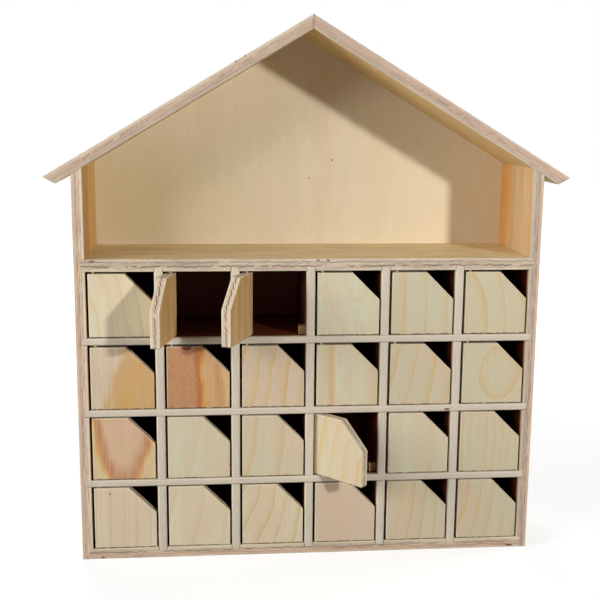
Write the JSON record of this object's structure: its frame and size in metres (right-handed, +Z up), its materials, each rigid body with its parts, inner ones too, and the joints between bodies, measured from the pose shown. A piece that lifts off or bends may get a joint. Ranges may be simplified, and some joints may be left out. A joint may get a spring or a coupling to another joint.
{
  "type": "wooden advent calendar",
  "caption": "House-shaped plywood cabinet with an open attic under a pitched roof and a grid of small left-hinged doors, each with a cut corner as a finger gap, over compartments for gifts.",
  "frame": {"origin": "middle of the carcass's footprint, on the surface that it stands on", "axes": "+X to the right seen from the front, +Y from the doors to the back, +Z up"},
  "size_m": [0.3792, 0.1244, 0.3991],
  "materials": {
    "shell_ply": "bare birch plywood, sanded",
    "back_ply": "bare thin plywood, sanded",
    "grid_ply": "bare plywood edges, sanded",
    "door_ply": "bare plywood, sanded, eased edges",
    "pin_wood": "bare hardwood dowel",
    "stop_wood": "bare softwood block"
  },
  "bodies": {
    "carcass": {"left_side": "shell_ply", "right_side": "shell_ply", "left_roof": "shell_ply", "right_roof": "shell_ply", "base_board": "shell_ply", "attic_shelf": "shell_ply", "back_panel": "back_ply", "rail_1": "grid_ply", "rail_2": "grid_ply", "rail_3": "grid_ply", "divider_1": "grid_ply", "divider_2": "grid_ply", "divider_3": "grid_ply", "divider_4": "grid_ply", "divider_5": "grid_ply", "shelf_pins": "pin_wood", "rail_1_pins": "pin_wood", "rail_2_pins": "pin_wood", "rail_3_pins": "pin_wood", "base_pins": "pin_wood", "row_1_stops": "stop_wood", "row_2_stops": "stop_wood", "row_3_stops": "stop_wood", "row_4_stops": "stop_wood"},
    "door_r1c1": {"door_r1c1": "door_ply"},
    "door_r1c2": {"door_r1c2": "door_ply"},
    "door_r1c3": {"door_r1c3": "door_ply"},
    "door_r1c4": {"door_r1c4": "door_ply"},
    "door_r1c5": {"door_r1c5": "door_ply"},
    "door_r1c6": {"door_r1c6": "door_ply"},
    "door_r2c1": {"door_r2c1": "door_ply"},
    "door_r2c2": {"door_r2c2": "door_ply"},
    "door_r2c3": {"door_r2c3": "door_ply"},
    "door_r2c4": {"door_r2c4": "door_ply"},
    "door_r2c5": {"door_r2c5": "door_ply"},
    "door_r2c6": {"door_r2c6": "door_ply"},
    "door_r3c1": {"door_r3c1": "door_ply"},
    "door_r3c2": {"door_r3c2": "door_ply"},
    "door_r3c3": {"door_r3c3": "door_ply"},
    "door_r3c4": {"door_r3c4": "door_ply"},
    "door_r3c5": {"door_r3c5": "door_ply"},
    "door_r3c6": {"door_r3c6": "door_ply"},
    "door_r4c1": {"door_r4c1": "door_ply"},
    "door_r4c2": {"door_r4c2": "door_ply"},
    "door_r4c3": {"door_r4c3": "door_ply"},
    "door_r4c4": {"door_r4c4": "door_ply"},
    "door_r4c5": {"door_r4c5": "door_ply"},
    "door_r4c6": {"door_r4c6": "door_ply"}
  },
  "joints": [
    {"name": "door_r1c1_hinge", "type": "hinge", "parent": "carcass", "child": "door_r1c1", "pos_m": [-0.1569, -0.0395, 0.1943], "axis": [0, 0, -1], "range_deg": [0, 112]},
    {"name": "door_r1c2_hinge", "type": "hinge", "parent": "carcass", "child": "door_r1c2", "pos_m": [-0.1018, -0.0395, 0.1943], "axis": [0, 0, -1], "range_deg": [-103, 9]},
    {"name": "door_r1c3_hinge", "type": "hinge", "parent": "carcass", "child": "door_r1c3", "pos_m": [-0.0467, -0.0395, 0.1943], "axis": [0, 0, -1], "range_deg": [-112, 0]},
    {"name": "door_r1c4_hinge", "type": "hinge", "parent": "carcass", "child": "door_r1c4", "pos_m": [0.0084, -0.0395, 0.1943], "axis": [0, 0, -1], "range_deg": [0, 112]},
    {"name": "door_r1c5_hinge", "type": "hinge", "parent": "carcass", "child": "door_r1c5", "pos_m": [0.0635, -0.0395, 0.1943], "axis": [0, 0, -1], "range_deg": [0, 112]},
    {"name": "door_r1c6_hinge", "type": "hinge", "parent": "carcass", "child": "door_r1c6", "pos_m": [0.1186, -0.0395, 0.1943], "axis": [0, 0, -1], "range_deg": [0, 112]},
    {"name": "door_r2c1_hinge", "type": "hinge", "parent": "carcass", "child": "door_r2c1", "pos_m": [-0.1569, -0.0395, 0.1403], "axis": [0, 0, -1], "range_deg": [0, 112]},
    {"name": "door_r2c2_hinge", "type": "hinge", "parent": "carcass", "child": "door_r2c2", "pos_m": [-0.1018, -0.0395, 0.1403], "axis": [0, 0, -1], "range_deg": [0, 112]},
    {"name": "door_r2c3_hinge", "type": "hinge", "parent": "carcass", "child": "door_r2c3", "pos_m": [-0.0467, -0.0395, 0.1403], "axis": [0, 0, -1], "range_deg": [0, 112]},
    {"name": "door_r2c4_hinge", "type": "hinge", "parent": "carcass", "child": "door_r2c4", "pos_m": [0.0084, -0.0395, 0.1403], "axis": [0, 0, -1], "range_deg": [0, 112]},
    {"name": "door_r2c5_hinge", "type": "hinge", "parent": "carcass", "child": "door_r2c5", "pos_m": [0.0635, -0.0395, 0.1403], "axis": [0, 0, -1], "range_deg": [0, 112]},
    {"name": "door_r2c6_hinge", "type": "hinge", "parent": "carcass", "child": "door_r2c6", "pos_m": [0.1186, -0.0395, 0.1403], "axis": [0, 0, -1], "range_deg": [0, 112]},
    {"name": "door_r3c1_hinge", "type": "hinge", "parent": "carcass", "child": "door_r3c1", "pos_m": [-0.1569, -0.0395, 0.0863], "axis": [0, 0, -1], "range_deg": [0, 112]},
    {"name": "door_r3c2_hinge", "type": "hinge", "parent": "carcass", "child": "door_r3c2", "pos_m": [-0.1018, -0.0395, 0.0863], "axis": [0, 0, -1], "range_deg": [0, 112]},
    {"name": "door_r3c3_hinge", "type": "hinge", "parent": "carcass", "child": "door_r3c3", "pos_m": [-0.0467, -0.0395, 0.0863], "axis": [0, 0, -1], "range_deg": [0, 112]},
    {"name": "door_r3c4_hinge", "type": "hinge", "parent": "carcass", "child": "door_r3c4", "pos_m": [0.0084, -0.0395, 0.0863], "axis": [0, 0, -1], "range_deg": [-46, 66]},
    {"name": "door_r3c5_hinge", "type": "hinge", "parent": "carcass", "child": "door_r3c5", "pos_m": [0.0635, -0.0395, 0.0863], "axis": [0, 0, -1], "range_deg": [0, 112]},
    {"name": "door_r3c6_hinge", "type": "hinge", "parent": "carcass", "child": "door_r3c6", "pos_m": [0.1186, -0.0395, 0.0863], "axis": [0, 0, -1], "range_deg": [0, 112]},
    {"name": "door_r4c1_hinge", "type": "hinge", "parent": "carcass", "child": "door_r4c1", "pos_m": [-0.1569, -0.0395, 0.0323], "axis": [0, 0, -1], "range_deg": [0, 112]},
    {"name": "door_r4c2_hinge", "type": "hinge", "parent": "carcass", "child": "door_r4c2", "pos_m": [-0.1018, -0.0395, 0.0323], "axis": [0, 0, -1], "range_deg": [0, 112]},
    {"name": "door_r4c3_hinge", "type": "hinge", "parent": "carcass", "child": "door_r4c3", "pos_m": [-0.0467, -0.0395, 0.0323], "axis": [0, 0, -1], "range_deg": [0, 112]},
    {"name": "door_r4c4_hinge", "type": "hinge", "parent": "carcass", "child": "door_r4c4", "pos_m": [0.0084, -0.0395, 0.0323], "axis": [0, 0, -1], "range_deg": [0, 112]},
    {"name": "door_r4c5_hinge", "type": "hinge", "parent": "carcass", "child": "door_r4c5", "pos_m": [0.0635, -0.0395, 0.0323], "axis": [0, 0, -1], "range_deg": [0, 112]},
    {"name": "door_r4c6_hinge", "type": "hinge", "parent": "carcass", "child": "door_r4c6", "pos_m": [0.1186, -0.0395, 0.0323], "axis": [0, 0, -1], "range_deg": [0, 112]}
  ]
}
